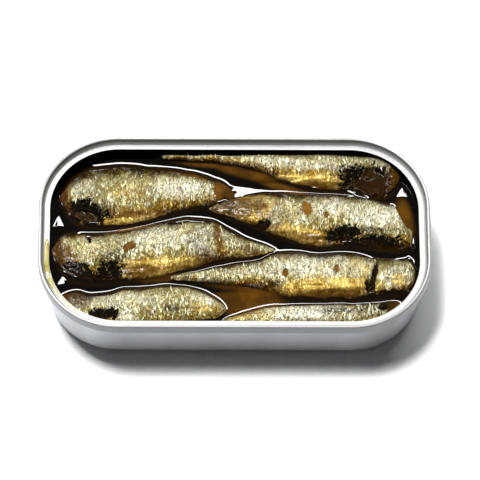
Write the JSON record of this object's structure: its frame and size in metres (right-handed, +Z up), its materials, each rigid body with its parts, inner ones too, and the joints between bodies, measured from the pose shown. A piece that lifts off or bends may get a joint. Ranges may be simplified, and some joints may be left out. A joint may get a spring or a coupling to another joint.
{
  "type": "opened tin of sardines in oil",
  "caption": "Shallow rounded-corner metal tin with its lid peeled off, filled with a single layer of headless sardines in oil.",
  "frame": {"origin": "centre of the tin's outline, at the level of the surface it stands on", "axes": "+X along the tin, +Y to the back, +Z up"},
  "size_m": [0.105, 0.059, 0.02],
  "materials": {
    "tin_body": "satin drawn sheet metal",
    "seam_ring": "bright satin seam with a smooth white-silver lacquered ledge",
    "oil": "clear amber-brown oil, glossy",
    "fish": "wet silver-gold fish skin, wrinkled, with torn brown patches"
  },
  "bodies": {
    "root": {"can": "tin_body", "lid_ring": "seam_ring", "oil": "oil", "fish_1": "fish", "fish_2": "fish", "fish_3": "fish", "fish_4": "fish", "fish_5": "fish", "fish_6": "fish", "fish_7": "fish"}
  },
  "joints": []
}
